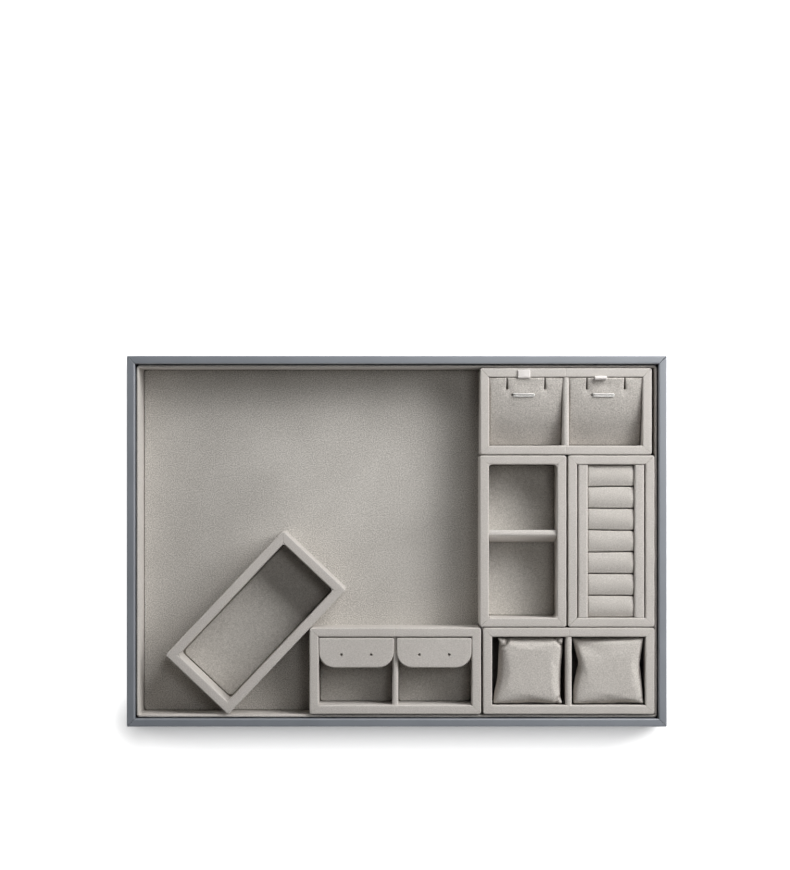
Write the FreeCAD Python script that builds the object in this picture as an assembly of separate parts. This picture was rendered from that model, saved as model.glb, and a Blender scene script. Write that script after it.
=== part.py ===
import FreeCAD, Part
import math
import os

from FreeCAD import Vector

# A jewelry tray: a wrapped frame with a suede liner, and six loose boxes that stand in it.
# Millimetres, +Z up, origin at the middle of the underside, +X to the right, +Y to the back.

# Loose boxes, one size for all six
box_length = 154.6
box_width = 78.0
box_height = 38.0
box_wall = 8.2
box_rim_radius = 1.2
box_corner_radius = 2.2
box_base = 3.0
box_card = 2.0
card_gap = 0.4
divider_thickness = 5.6
divider_drop = 0.5
divider_rim_radius = 2.5

# Tray
column_count = 3
column_play = 1.6
row_gap = 0.7
edge_gap = 0.6
felt_thickness = 1.5
felt_margin = 3.0
base_board = 4.0
floor_card = 2.5
liner_wall = 2.2
liner_rim_radius = 0.8
liner_corner_radius = 3.2
liner_drop = 5.0
groove = 0.9
rail_width = 7.4
rail_rim_radius = 1.2
rail_corner_radius = 1.0
rail_rise = 2.0

# Places of the boxes
right_gap = 0.4
pendant_side_gap = 2.9
pair_ring_gap = 1.5
earring_watch_gap = 1.8
open_turn = 46.6
open_front_gap = 1.2
open_side_gap = 0.4

# Pendant pads, their hooks and ribbon pulls
pad_side_gap = 0.35
pad_front_gap = 0.5
pad_back_gap = 0.4
pad_back_drop = 0.3
pad_front_drop = 15.0
pad_bow = 2.6
pad_crown = 1.0
pad_shoulder = 2.2
pad_edge_radius = 1.0
slit_spread = 34.2
slit_width = 1.3
slit_length = 10.0
slit_depth = 9.0
hook_length = 20.0
hook_wire = 1.0
hook_spacing = 1.9
hook_bend = 1.6
hook_bend_steps = 3
hook_lift = 0.3
hook_leg = 6.0
hook_shift = -2.0
hook_from_back = 15.5
hook_hole_offset = 0.6
hook_hole_clearance = 0.16
ribbon_width = 11.0
ribbon_thickness = 0.9
ribbon_root = 8.0
ribbon_recess = 0.8
ribbon_slack = 0.2
ribbon_bend = 0.8
ribbon_lift = 0.5
ribbon_reach = 8.0
ribbon_left_shift = -1.5
ribbon_right_shift = -3.7
loop_opening = 3.8
loop_rise = 5.0

# Loose leaning divider of the pair box
leaf_thickness = 5.8
leaf_drop = 1.9
leaf_lean = 12.5
leaf_shift = 1.2
leaf_end_gap = 0.3
leaf_foot_gap = 0.1
leaf_rim_radius = 2.4

# Ring rack
roll_count = 7
rack_board = 2.0
rack_end_gap = 0.3
rack_side_gap = 0.9
rack_rail_width = 8.9
rack_rail_drop = 0.7
rack_rail_radius = 1.6
roll_gap = 0.3
roll_end_gap = 0.3
roll_drop = 2.0
roll_crown = 5.0
roll_end_drop = 1.2

# Watch pillows
pillow_side_gap = 1.15
pillow_end_gap = 1.1
pillow_waist_draw = 4.75
pillow_drop = 0.6
pillow_foot_gap = 0.3
pillow_draw_power = 2.2
pillow_crest_turn = 8.0
pillow_crest_steps = 4
pillow_flank_steps = 8
pillow_station_shares = (-1.0, -0.96, -0.84, -0.5, 0.0, 0.5, 0.84, 0.96, 1.0)
pillow_height_shares = (0.2, 0.5, 0.79, 0.96, 1.0, 0.96, 0.79, 0.5, 0.2)

# Earring flaps
flap_side_gap = 0.25
flap_middle_gap = 1.35
flap_depth = 26.6
flap_thickness = 2.4
flap_drop = 0.4
flap_corner_radius = 14.0
stud_spacing = 26.9
stud_from_axis = 13.8
stud_radius = 0.9
tape_thickness = 0.6
tape_height = 14.0
tape_reach = 6.0
tape_margin = 3.0
tape_gap = 0.5
ledge_width = 2.4
ledge_height = 5.0
ledge_length = 10.0
ledge_gap = 0.1

# Overrun of every cutting tool, and the most of a wall that its rounded rim may take
overrun = 5.0
rim_limit_share = 0.45
roll_end_share = 0.9

# Worked-out sizes
inner_length = box_length - 2 * box_wall
inner_width = box_width - 2 * box_wall
cell_width = (inner_length - divider_thickness) / 2
cell_offset = (cell_width + divider_thickness) / 2
tray_inner_length = column_count * box_length + column_play
tray_inner_width = 2 * box_width + box_length + 2 * row_gap + 2 * edge_gap
liner_length = tray_inner_length + 2 * liner_wall
liner_width = tray_inner_width + 2 * liner_wall
bed_length = liner_length + 2 * groove
bed_width = liner_width + 2 * groove
tray_length = bed_length + 2 * rail_width
tray_width = bed_width + 2 * rail_width
bed_z = felt_thickness + base_board
floor_z = bed_z + floor_card
rim_z = floor_z + box_height
rail_top = rim_z + rail_rise
liner_top = rail_top - liner_drop
base_top = floor_z + box_base
card_top = base_top + box_card

# Middles of the boxes on the tray floor, as x, y and turn in degrees
right_edge = tray_inner_length / 2 - right_gap
back_edge = tray_inner_width / 2 - edge_gap
front_edge = edge_gap - tray_inner_width / 2
middle_y = back_edge - box_width - row_gap - box_length / 2
ring_x = right_edge - box_width / 2
watch_x = right_edge - box_length / 2
earring_x = watch_x - box_length - earring_watch_gap
pendant_seat = (tray_inner_length / 2 - pendant_side_gap - box_length / 2, back_edge - box_width / 2, 0)
pair_seat = (ring_x - box_width - pair_ring_gap, middle_y, 90)
ring_seat = (ring_x, middle_y, 90)
watch_seat = (watch_x, front_edge + box_width / 2, 0)
earring_seat = (earring_x, front_edge + box_width / 2, 0)


def open_box_seat():
    # The turned box rests its low corner near the liner and its long side near the earring box.
    sine = math.sin(math.radians(open_turn))
    cosine = math.cos(math.radians(open_turn))
    trim = box_corner_radius * (sine + cosine - 1)
    reach = box_length / 2 * sine + box_width / 2 * cosine - trim
    y = open_front_gap - tray_inner_width / 2 + reach
    corner_x = earring_x - box_length / 2
    corner_y = front_edge + box_width
    side = corner_x * sine - corner_y * cosine + trim - open_side_gap - box_width / 2
    return ((side + y * cosine) / sine, y, open_turn)


def block(length, width, height, x, y, z):
    return Part.makeBox(length, width, height, Vector(x - length / 2, y - width / 2, z))


def arc(start, middle, end):
    return Part.Arc(start, middle, end).toShape()


def line(start, end):
    return Part.makeLine(start, end)


def face_of(edges):
    return Part.Face(Part.Wire(edges))


def corner_arc(centre, radius, angle_from, angle_to, plane):
    # An arc about a centre; plane turns a pair of numbers into a point.
    angles = (angle_from, (angle_from + angle_to) / 2, angle_to)
    points = []
    for angle in angles:
        turn = math.radians(angle)
        points.append(plane(centre[0] + radius * math.cos(turn), centre[1] + radius * math.sin(turn)))
    return arc(*points)


def stepped_arc(centre, radius, angle_from, angle_to, steps, plane):
    # Points along an arc, both ends included, for what goes round in short straight steps.
    points = []
    for step in range(steps + 1):
        turn = math.radians(angle_from + (angle_to - angle_from) * step / steps)
        points.append(plane(centre[0] + radius * math.cos(turn), centre[1] + radius * math.sin(turn)))
    return points


def place(shape, seat):
    moved = shape.copy()
    moved.rotate(Vector(), Vector(0, 0, 1), seat[2])
    moved.translate(Vector(seat[0], seat[1], 0))
    return moved


def rounded_board(run, thickness, low, high, radius, x, y):
    # A board on edge along X, both its top edges rounded, its middle at x and y.
    radius = min(radius, thickness * rim_limit_share)
    front = y - thickness / 2
    back = y + thickness / 2

    def plane(across, up):
        return Vector(x - run / 2, across, up)

    edges = [
        line(plane(front, low), plane(back, low)),
        line(plane(back, low), plane(back, high - radius)),
        corner_arc((back - radius, high - radius), radius, 0, 90, plane),
        line(plane(back - radius, high), plane(front + radius, high)),
        corner_arc((front + radius, high - radius), radius, 90, 180, plane),
        line(plane(front, high - radius), plane(front, low)),
    ]
    return face_of(edges).extrude(Vector(run, 0, 0))


def mitred_wall(run, reach, wall, low, high, rim, corner):
    # The back wall of a ring: a rounded board cut to its mitred plan with rounded outer corners.
    half = run / 2

    def plane(x, y):
        return Vector(x, y, low)

    inset = corner * (1 - math.cos(math.radians(45)))
    edges = [
        line(plane(wall - half, reach - wall), plane(half - wall, reach - wall)),
        line(plane(half - wall, reach - wall), plane(half - inset, reach - inset)),
        corner_arc((half - corner, reach - corner), corner, 45, 90, plane),
        line(plane(half - corner, reach), plane(corner - half, reach)),
        corner_arc((corner - half, reach - corner), corner, 90, 135, plane),
        line(plane(inset - half, reach - inset), plane(wall - half, reach - wall)),
    ]
    plan = face_of(edges).extrude(Vector(0, 0, high - low))
    return rounded_board(run, wall, low, high, rim, 0, reach - wall / 2).common(plan).Solids[0]


def wall_ring(length, width, wall, low, high, rim, corner):
    # Four mitred walls in the order back, left, front, right.
    walls = []
    for quarter in range(4):
        run, reach = (length, width / 2) if quarter % 2 == 0 else (width, length / 2)
        side = mitred_wall(run, reach, wall, low, high, rim, corner)
        side.rotate(Vector(), Vector(0, 0, 1), 90 * quarter)
        walls.append(side)
    return walls


def tray_pieces():
    rails = wall_ring(tray_length, tray_width, rail_width, felt_thickness, rail_top,
                      rail_rim_radius, rail_corner_radius)
    liners = wall_ring(liner_length, liner_width, liner_wall, bed_z, liner_top,
                       liner_rim_radius, liner_corner_radius)
    pieces = {}
    for side, rail, liner in zip(("back", "left", "front", "right"), rails, liners):
        pieces["tray_rail_" + side] = rail
        pieces["liner_wall_" + side] = liner
    felt_length = tray_length - 2 * felt_margin
    felt_width = tray_width - 2 * felt_margin
    pieces["tray_felt"] = block(felt_length, felt_width, felt_thickness, 0, 0, 0)
    pieces["tray_base_board"] = block(bed_length, bed_width, base_board, 0, 0, felt_thickness)
    pieces["liner_floor_card"] = block(tray_inner_length - 2 * card_gap, tray_inner_width - 2 * card_gap,
                                       floor_card, 0, 0, bed_z)
    return pieces


def box_pieces(name, seat):
    # The walls and base that every loose box has.
    walls = wall_ring(box_length, box_width, box_wall, floor_z, rim_z, box_rim_radius, box_corner_radius)
    base = block(inner_length, inner_width, box_base, 0, 0, floor_z)
    return {
        name + "_box_walls": place(Part.makeCompound(walls), seat),
        name + "_box_base": place(base, seat),
    }


def box_divider(seat, drop):
    # A fixed divider across the middle of a box, from back wall to front wall, with a round top.
    board = rounded_board(inner_width, divider_thickness, base_top, rim_z - drop,
                          divider_rim_radius, 0, 0)
    board.rotate(Vector(), Vector(0, 0, 1), 90)
    return place(board, seat)


def floor_cards(name, seat):
    # One card in each half of a divided box.
    cards = {}
    for side, sign in (("left", -1), ("right", 1)):
        card = block(cell_width - 2 * card_gap, inner_width - 2 * card_gap, box_card,
                     sign * cell_offset, 0, base_top)
        cards[name + "_box_card_" + side] = place(card, seat)
    return cards


def whole_card(seat):
    card = block(inner_length - 2 * card_gap, inner_width - 2 * card_gap, box_card, 0, 0, base_top)
    return place(card, seat)


pad_width = cell_width - 2 * pad_side_gap
pad_front = pad_front_gap - inner_width / 2
pad_back = inner_width / 2 - pad_back_gap
pad_depth = pad_back - pad_front
pad_rise = pad_front_drop - pad_back_drop
pad_chord = math.hypot(pad_depth, pad_rise)
pad_radius = (pad_chord ** 2 / 4 + pad_bow ** 2) / (2 * pad_bow)
pad_sink = (pad_radius - pad_bow) / pad_chord
pad_middle_y = (pad_front + pad_back) / 2 + pad_sink * pad_rise
pad_middle_z = rim_z - (pad_front_drop + pad_back_drop) / 2 - pad_sink * pad_depth


def pad_slope(y):
    # Lean of the bowed top at y, in degrees.
    return math.degrees(math.asin((pad_middle_y - y) / pad_radius))


def pad_top(y):
    # Height of the middle of the bowed pad before its front and back edges round off.
    return pad_middle_z + math.sqrt(pad_radius ** 2 - (y - pad_middle_y) ** 2)


def pad_wedge():
    # The side outline of a pad, its front and back top edges rounded, drawn right across.
    radius = pad_edge_radius
    half = pad_width / 2 + overrun
    ends = []
    for y in (pad_front + radius, pad_back - radius):
        lean = math.asin((pad_middle_y - y) / (pad_radius - radius))
        ends.append((y, pad_middle_z + (pad_radius - radius) * math.cos(lean), 90 + math.degrees(lean)))
    front, back = ends

    def plane(y, z):
        return Vector(-half, y, z)

    edges = [
        line(plane(pad_front, base_top), plane(pad_front, front[1])),
        corner_arc(front, radius, 180, front[2], plane),
        corner_arc((pad_middle_y, pad_middle_z), pad_radius, front[2], back[2], plane),
        corner_arc(back, radius, back[2], 0, plane),
        line(plane(pad_back, back[1]), plane(pad_back, base_top)),
        line(plane(pad_back, base_top), plane(pad_front, base_top)),
    ]
    return face_of(edges).extrude(Vector(2 * half, 0, 0))


def pad_crest():
    # The cross-section of a pad carried round its bow: straight sides, round shoulders, crowned top.
    half = pad_width / 2
    crest = pad_middle_z + pad_radius
    foot = crest - box_height
    shelf = crest - pad_crown
    low = shelf - pad_shoulder

    def plane(x, z):
        return Vector(x, pad_middle_y, z)

    edges = [
        line(plane(-half, foot), plane(half, foot)),
        line(plane(half, foot), plane(half, low)),
        corner_arc((half - pad_shoulder, low), pad_shoulder, 0, 90, plane),
        arc(plane(half - pad_shoulder, shelf), plane(0, crest), plane(pad_shoulder - half, shelf)),
        corner_arc((pad_shoulder - half, low), pad_shoulder, 90, 180, plane),
        line(plane(-half, low), plane(-half, foot)),
    ]
    middle = Vector(0, pad_middle_y, pad_middle_z)
    across = Vector(1, 0, 0)
    span = pad_slope(pad_front) - pad_slope(pad_back)
    section = face_of(edges)
    section.rotate(middle, across, pad_slope(pad_back) - span)
    return section.revolve(middle, across, 3 * span)


def pendant_pad(ribbon_shift):
    # A wedge of foam with a bowed top, two chain slits and a ribbon's recess in its back edge, and
    # the hole for the hook.
    pad = pad_wedge().common(pad_crest()).Solids[0]
    pad = pad.cut(block(ribbon_width + 2 * ribbon_slack, 2 * ribbon_recess, box_height,
                        ribbon_shift, pad_back, ribbon_low))
    for sign in (-1, 1):
        slit_y = pad_back - slit_length / 2 + overrun / 2
        slit_low = rim_z - pad_back_drop - slit_depth
        slit = block(slit_width, slit_length + overrun, slit_depth + overrun,
                     sign * slit_spread / 2, slit_y, slit_low)
        pad = pad.cut(slit)
    return pad.cut(on_pad(hook_hole()))


def on_pad(shape):
    # Takes a piece drawn about a flat surface at zero height onto the slope where the hook lies.
    y = pad_back - hook_from_back
    moved = shape.copy()
    moved.rotate(Vector(), Vector(1, 0, 0), pad_slope(y))
    moved.translate(Vector(hook_shift, y, pad_top(y)))
    return moved


def hook_hole():
    # The hole that both legs of the hook go down.
    radius = math.hypot(hook_hole_offset, hook_spacing / 2) + hook_wire / 2 + hook_hole_clearance
    low = -hook_leg - hook_hole_clearance
    x = -hook_length / 2 - hook_hole_offset + hook_wire / 2
    return Part.makeCylinder(radius, overrun - low, Vector(x, 0, low))


def pendant_hook():
    # A hairpin of round wire: up a leg, along, round the bight and back to the other leg.
    left = hook_wire / 2 - hook_length / 2
    side = hook_spacing / 2
    right = hook_length / 2 - hook_wire / 2 - side
    height = hook_lift + hook_wire / 2

    def near(x, z):
        return Vector(x, -side, z)

    def far(x, z):
        return Vector(x, side, z)

    def level(x, y):
        return Vector(x, y, height)

    bend_centre = (left + hook_bend, height - hook_bend)
    points = [near(left, -hook_leg)]
    points += stepped_arc(bend_centre, hook_bend, 180, 90, hook_bend_steps, near)
    points += stepped_arc((right, 0), side, -90, 90, 2 * hook_bend_steps, level)
    points += stepped_arc(bend_centre, hook_bend, 90, 180, hook_bend_steps, far)
    points.append(far(left, -hook_leg))
    ring = Part.Wire([Part.makeCircle(hook_wire / 2, points[0], Vector(0, 0, 1))])
    mitred = 1
    return on_pad(Part.makePolygon(points).makePipeShell([ring], True, False, mitred))


def strip(edges, shift, holes=()):
    # A ribbon drawn edge-on in the YZ plane and given its width along X.
    ribbon = face_of(edges)
    for hole in holes:
        ribbon = ribbon.cut(face_of(hole))
    solid = ribbon.extrude(Vector(ribbon_width, 0, 0))
    solid.translate(Vector(shift - ribbon_width / 2, 0, 0))
    return solid


def ribbon_plane(y, z):
    return Vector(0, pad_back - ribbon_recess + y, z)


ribbon_low = rim_z - pad_back_drop - pad_edge_radius - ribbon_root


def folded_ribbon():
    # The left pull, flattened and laid back over the wall behind it.
    under = rim_z + ribbon_lift
    thick = ribbon_thickness
    bend = ribbon_bend + thick
    centre = (bend, under - ribbon_bend)
    edges = [
        line(ribbon_plane(0, ribbon_low), ribbon_plane(0, centre[1])),
        corner_arc(centre, bend, 180, 90, ribbon_plane),
        line(ribbon_plane(bend, under + thick), ribbon_plane(ribbon_reach, under + thick)),
        line(ribbon_plane(ribbon_reach, under + thick), ribbon_plane(ribbon_reach, under)),
        line(ribbon_plane(ribbon_reach, under), ribbon_plane(bend, under)),
        corner_arc(centre, ribbon_bend, 90, 180, ribbon_plane),
        line(ribbon_plane(thick, centre[1]), ribbon_plane(thick, ribbon_low)),
        line(ribbon_plane(thick, ribbon_low), ribbon_plane(0, ribbon_low)),
    ]
    return strip(edges, ribbon_left_shift)


def standing_ribbon():
    # The right pull, a loop that stands up and opens above the rim.
    thick = ribbon_thickness
    layer = thick / 2
    radius = loop_opening / 2
    neck = rim_z + ribbon_lift
    crest = neck + loop_rise
    centre = (layer, crest)
    edges = [
        line(ribbon_plane(0, ribbon_low), ribbon_plane(0, neck)),
        line(ribbon_plane(0, neck), ribbon_plane(layer - radius, crest)),
        corner_arc(centre, radius, 180, 0, ribbon_plane),
        line(ribbon_plane(layer + radius, crest), ribbon_plane(thick, neck)),
        line(ribbon_plane(thick, neck), ribbon_plane(thick, ribbon_low)),
        line(ribbon_plane(thick, ribbon_low), ribbon_plane(0, ribbon_low)),
    ]
    gap = radius - layer
    opening = [
        line(ribbon_plane(layer, neck + thick), ribbon_plane(layer - gap, crest)),
        corner_arc(centre, gap, 180, 0, ribbon_plane),
        line(ribbon_plane(layer + gap, crest), ribbon_plane(layer, neck + thick)),
    ]
    return strip(edges, ribbon_right_shift, [opening])


def pendant_pieces():
    pieces = box_pieces("pendant", pendant_seat)
    pieces["pendant_box_divider"] = box_divider(pendant_seat, divider_drop)
    hook = pendant_hook()
    sides = (
        ("left", -1, ribbon_left_shift, folded_ribbon()),
        ("right", 1, ribbon_right_shift, standing_ribbon()),
    )
    for side, sign, shift, ribbon in sides:
        cell = (pendant_seat[0] + sign * cell_offset, pendant_seat[1], pendant_seat[2])
        pieces["pendant_pad_" + side] = place(pendant_pad(shift), cell)
        pieces["pendant_hook_" + side] = place(hook, cell)
        pieces["pendant_ribbon_" + side] = place(ribbon, cell)
    return pieces


def leaning_divider(seat):
    # A loose board whose foot stands on the card and whose top leans to the back.
    run = inner_width - 2 * leaf_end_gap
    sine = math.sin(math.radians(leaf_lean))
    cosine = math.cos(math.radians(leaf_lean))
    headroom = rim_z - leaf_drop - card_top - leaf_foot_gap - leaf_thickness * sine
    board = rounded_board(run, leaf_thickness, 0, headroom / cosine, leaf_rim_radius, 0, 0)
    board.rotate(Vector(), Vector(1, 0, 0), -leaf_lean)
    foot = leaf_thickness / 2 * sine
    board.rotate(Vector(), Vector(0, 0, 1), -90)
    board.translate(Vector(leaf_shift, 0, card_top + leaf_foot_gap + foot))
    return place(board, seat)


def pair_pieces():
    pieces = box_pieces("pair", pair_seat)
    pieces["pair_box_card"] = whole_card(pair_seat)
    pieces["pair_box_divider"] = leaning_divider(pair_seat)
    return pieces


rack_length = inner_length - 2 * rack_end_gap
rack_width = inner_width - 2 * rack_side_gap
rack_floor = base_top + rack_board
roll_pitch = rack_length / roll_count
roll_width = roll_pitch - roll_gap
roll_length = rack_width - 2 * rack_rail_width - 2 * roll_end_gap


def roll_section(y, drop):
    # Slice of a foam roll: flat foot, straight sides and a round top.
    half = roll_width / 2
    crest = rim_z - roll_drop - drop
    shelf = crest - roll_crown

    def plane(x, z):
        return Vector(x, y, z)

    edges = [
        line(plane(-half, rack_floor), plane(half, rack_floor)),
        line(plane(half, rack_floor), plane(half, shelf)),
        arc(plane(half, shelf), plane(0, crest), plane(-half, shelf)),
        line(plane(-half, shelf), plane(-half, rack_floor)),
    ]
    return Part.Wire(edges)


def ring_roll(index):
    # One roll, lofted from rail to rail and a little lower where its cover is gathered at the ends.
    reach = roll_length / 2
    sections = []
    for share, drop in ((-1, roll_end_drop), (-roll_end_share, 0), (roll_end_share, 0), (1, roll_end_drop)):
        sections.append(roll_section(share * reach, drop))
    roll = Part.makeLoft(sections, True, True)
    roll.translate(Vector(roll_pitch * (index + 1 / 2) - rack_length / 2, 0, 0))
    return roll


def ring_pieces():
    pieces = box_pieces("ring", ring_seat)
    pieces["ring_rack_board"] = place(block(rack_length, rack_width, rack_board, 0, 0, base_top), ring_seat)
    for side, sign in (("left", 1), ("right", -1)):
        y = sign * (rack_width - rack_rail_width) / 2
        rail = rounded_board(rack_length, rack_rail_width, rack_floor, rim_z - rack_rail_drop,
                             rack_rail_radius, 0, y)
        pieces["ring_rack_rail_" + side] = place(rail, ring_seat)
    for index in range(roll_count):
        pieces["ring_roll_" + str(roll_count - index)] = place(ring_roll(index), ring_seat)
    return pieces


def pillow_slice(half, y, middle, rise):
    # A plump slice: a flat crest and two round flanks that meet it smoothly, and the same below.
    # The crest turns by the same angle in every slice, which gives both radii from width and rise,
    # and the arcs are stepped at the same angles, so that slices join in flat facets.
    sine = math.sin(math.radians(pillow_crest_turn))
    cosine = math.cos(math.radians(pillow_crest_turn))
    crest = (half * cosine - rise * (1 - sine)) / (sine + cosine - 1)
    flank = (rise * sine - half * (1 - cosine)) / (sine + cosine - 1)
    turn = pillow_crest_turn

    def plane(x, z):
        return Vector(x, y, middle + z)

    points = []
    for low, side in ((0, 1), (180, -1)):
        near = (side * (half - flank), 0)
        far = (side * (flank - half), 0)
        top = (0, side * (rise - crest))
        points += stepped_arc(near, flank, low, low + 90 - turn, pillow_flank_steps, plane)
        points += stepped_arc(top, crest, low + 90 - turn, low + 90 + turn, pillow_crest_steps, plane)[1:-1]
        points += stepped_arc(far, flank, low + 90 + turn, low + 180, pillow_flank_steps, plane)[:-1]
    return points + points[:1]


def faceted_loft(slices):
    # A solid with flat facets from each slice to the next, closed by the first and last slice.
    faces = [face_of(Part.makePolygon(end).Edges) for end in (slices[0], slices[-1])]
    for near, far in zip(slices, slices[1:]):
        for a, b, c, d in zip(near, near[1:], far[1:], far):
            faces.append(face_of(Part.makePolygon([a, b, c, d, a]).Edges))
    return Part.makeSolid(Part.makeShell(faces))


def watch_pillow():
    # A stuffed pillow, plump from front to back and drawn in at its waist.
    low = card_top + pillow_foot_gap
    middle = (low + rim_z - pillow_drop) / 2
    slices = []
    for share, height_share in zip(pillow_station_shares, pillow_height_shares):
        draw = pillow_waist_draw * (1 - abs(share) ** pillow_draw_power)
        half = cell_width / 2 - pillow_side_gap - draw
        y = share * (inner_width / 2 - pillow_end_gap)
        slices.append(pillow_slice(half, y, middle, (middle - low) * height_share))
    return faceted_loft(slices)


def watch_pieces():
    pieces = box_pieces("watch", watch_seat)
    pieces["watch_box_divider"] = box_divider(watch_seat, divider_drop)
    pieces.update(floor_cards("watch", watch_seat))
    pillow = watch_pillow()
    for side, sign in (("left", -1), ("right", 1)):
        cell = (watch_seat[0] + sign * cell_offset, watch_seat[1], watch_seat[2])
        pieces["watch_pillow_" + side] = place(pillow, cell)
    return pieces


flap_width = inner_length / 2 - flap_side_gap - flap_middle_gap
flap_offset = flap_middle_gap + flap_width / 2
flap_low = rim_z - flap_drop - flap_thickness
flap_rest = flap_low - ledge_gap
hinge_z = flap_low + flap_thickness / 2
hinge_y = inner_width / 2 - tape_thickness - tape_gap - flap_thickness / 2


def earring_flap():
    # A thin board with round front corners, two stud holes and a round back edge on its hinge line.
    half = flap_width / 2
    front = hinge_y + flap_thickness / 2 - flap_depth
    radius = flap_corner_radius

    def plane(x, y):
        return Vector(x, y, flap_low)

    edges = [
        line(plane(half, hinge_y), plane(-half, hinge_y)),
        line(plane(-half, hinge_y), plane(-half, front + radius)),
        corner_arc((radius - half, front + radius), radius, 180, 270, plane),
        line(plane(radius - half, front), plane(half - radius, front)),
        corner_arc((half - radius, front + radius), radius, 270, 360, plane),
        line(plane(half, front + radius), plane(half, hinge_y)),
    ]
    flap = face_of(edges).extrude(Vector(0, 0, flap_thickness))
    edge = Part.makeCylinder(flap_thickness / 2, flap_width, Vector(-half, hinge_y, hinge_z), Vector(1, 0, 0))
    flap = flap.fuse(edge).removeSplitter()
    for sign in (-1, 1):
        foot = Vector(sign * stud_spacing / 2, hinge_y - stud_from_axis, flap_low - overrun)
        flap = flap.cut(Part.makeCylinder(stud_radius, flap_thickness + 2 * overrun, foot))
    return flap


def flap_ledges():
    # A strip on each end wall; a closed flap rests on it and on the divider.
    ledges = []
    y = inner_width / 2 - ledge_length / 2 - flap_thickness
    for side in (-1, 1):
        x = side * (inner_length - ledge_width) / 2
        ledges.append(block(ledge_width, ledge_length, ledge_height, x, y, flap_rest - ledge_height))
    return Part.makeCompound(ledges)


def hinge_tape():
    # A strip glued down the back wall that turns forward under the flap.
    width = flap_width - 2 * tape_margin
    reach = inner_width / 2 - hinge_y + tape_reach
    down = block(width, tape_thickness, tape_height, 0, (inner_width - tape_thickness) / 2,
                 flap_rest - tape_height)
    forward = block(width, reach, tape_thickness, 0, (inner_width - reach) / 2, flap_rest - tape_thickness)
    return down.fuse(forward).removeSplitter()


def earring_pieces():
    pieces = box_pieces("earring", earring_seat)
    pieces["earring_box_divider"] = box_divider(earring_seat, rim_z - flap_rest)
    pieces.update(floor_cards("earring", earring_seat))
    pieces["earring_box_ledges"] = place(flap_ledges(), earring_seat)
    flap = earring_flap()
    tape = hinge_tape()
    for side, sign in (("left", -1), ("right", 1)):
        cell = (earring_seat[0] + sign * flap_offset, earring_seat[1], earring_seat[2])
        pieces["earring_hinge_tape_" + side] = place(tape, cell)
        pieces["earring_flap_" + side] = place(flap, cell)
    return pieces


def open_pieces():
    seat = open_box_seat()
    pieces = box_pieces("open", seat)
    pieces["open_box_card"] = whole_card(seat)
    return pieces


def main():
    os.makedirs("parts", exist_ok=True)
    box_groups = (pendant_pieces, pair_pieces, ring_pieces, watch_pieces, earring_pieces, open_pieces)
    for group in (tray_pieces, *box_groups):
        for name, shape in group().items():
            shape.exportStep("parts/" + name + ".step")
            print(name, len(shape.Solids), "solids", round(shape.Volume), "mm3", shape.isValid())


main()
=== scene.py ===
import math

import bmesh
import bpy
import numpy as np
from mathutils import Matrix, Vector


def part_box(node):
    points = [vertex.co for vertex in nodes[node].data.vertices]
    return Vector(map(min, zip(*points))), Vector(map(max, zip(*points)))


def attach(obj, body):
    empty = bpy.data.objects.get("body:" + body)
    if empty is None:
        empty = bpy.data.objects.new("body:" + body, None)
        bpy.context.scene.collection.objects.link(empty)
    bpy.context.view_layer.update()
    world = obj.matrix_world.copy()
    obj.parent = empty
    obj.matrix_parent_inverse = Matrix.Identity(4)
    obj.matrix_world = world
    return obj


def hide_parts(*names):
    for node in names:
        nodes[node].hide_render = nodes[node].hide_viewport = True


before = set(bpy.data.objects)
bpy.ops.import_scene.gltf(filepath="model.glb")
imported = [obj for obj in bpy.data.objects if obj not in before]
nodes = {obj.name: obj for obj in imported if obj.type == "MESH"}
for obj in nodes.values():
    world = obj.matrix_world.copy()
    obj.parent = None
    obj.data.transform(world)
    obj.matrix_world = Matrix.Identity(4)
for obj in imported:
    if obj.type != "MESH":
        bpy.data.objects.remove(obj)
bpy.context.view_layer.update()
scene = bpy.context.scene
join = np.concatenate
mm = 0.001
print("frame loaded:", len(nodes), "nodes")


# Shared tools

def linear(code):
    # sRGB hex to linear light: c/12.92 below 0.04045, else ((c+0.055)/1.055)^2.4
    parts = np.array([int(code[i:i + 2], 16) for i in (1, 3, 5)]) / 255
    light = np.where(parts <= 0.04045, parts / 12.92, ((parts + 0.055) / 1.055) ** 2.4)
    return (*light.tolist(), 1.0)


def setNode(tree, node, settings=None, **links):
    # settings are attributes, input values or a ramp's stops; links are input name or index -> socket,
    # or a node for its first output
    for key, value in (settings or {}).items():
        if key == "stops":
            for stop, (place, code) in zip(node.color_ramp.elements, value):
                stop.position, stop.color = place, linear(code)
        elif isinstance(key, str) and hasattr(node, key):
            setattr(node, key, value)
        else:
            node.inputs[key].default_value = value
    for key, source in links.items():
        place = int(key[1:]) if key[0] == "i" and key[1:].isdigit() else key.replace("_", " ")
        socket = source.outputs[0] if isinstance(source, bpy.types.Node) else source
        tree.links.new(socket, node.inputs[place])
    return node


def addNode(tree, kind, settings=None, **links):
    # a new node, set and linked
    return setNode(tree, tree.nodes.new("ShaderNode" + kind), settings, **links)


def startMaterial(name):
    # an empty material: shader, output and the piece's own coordinates
    material = bpy.data.materials.new(name)
    material.use_nodes = True
    tree = material.node_tree
    tree.nodes.clear()
    shader = addNode(tree, "BsdfPrincipled")
    addNode(tree, "OutputMaterial", Surface=shader)
    return material, tree, shader, addNode(tree, "TexCoord").outputs["Object"]


def quarterTurn(steps=9):
    # angles from 0 to 90 degrees
    return np.linspace(0, math.pi / 2, steps)


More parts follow.
